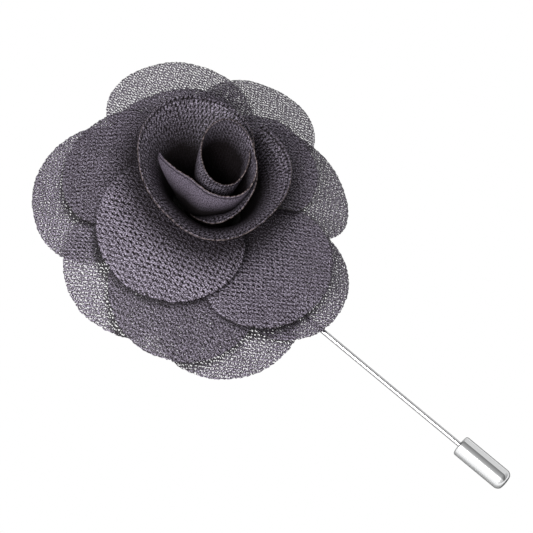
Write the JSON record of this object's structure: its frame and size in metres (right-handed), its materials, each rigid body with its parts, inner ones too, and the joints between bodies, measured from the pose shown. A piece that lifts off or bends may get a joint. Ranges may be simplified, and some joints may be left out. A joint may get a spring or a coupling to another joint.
{
  "type": "lapel pin",
  "caption": "Lapel pin: a cloth rose of round-cut petals round a rolled bud, on a long straight needle with a pull-off metal cap.",
  "frame": {"origin": "on the flower's axis, in the plane of the lapel's face, which the rims of the back petals and the cap touch", "axes": "+X along the needle, from the flower to the cap; +Z out of the flower's face"},
  "size_m": [0.09, 0.0532, 0.0243],
  "materials": {
    "petal_cloth": "semi-sheer crepe, pebbled",
    "bud_cloth": "the same crepe in several layers, so darker",
    "backing_felt": "felt",
    "polished_metal": "polished"
  },
  "bodies": {
    "flower_pin": {"back_petal_1": "petal_cloth", "back_petal_2": "petal_cloth", "back_petal_3": "petal_cloth", "back_petal_4": "petal_cloth", "back_petal_5": "petal_cloth", "back_petal_6": "petal_cloth", "back_petal_7": "petal_cloth", "mid_petal_1": "petal_cloth", "mid_petal_2": "petal_cloth", "mid_petal_3": "petal_cloth", "mid_petal_4": "petal_cloth", "mid_petal_5": "petal_cloth", "front_petal": "petal_cloth", "collar": "bud_cloth", "bud": "bud_cloth", "backing": "backing_felt", "pin": "polished_metal"},
    "cap": {"cap": "polished_metal"}
  },
  "joints": [
    {"name": "cap_pull", "type": "slide", "parent": "flower_pin", "child": "cap", "axis": [1, 0, 0], "range_m": [0, 0.02]}
  ]
}
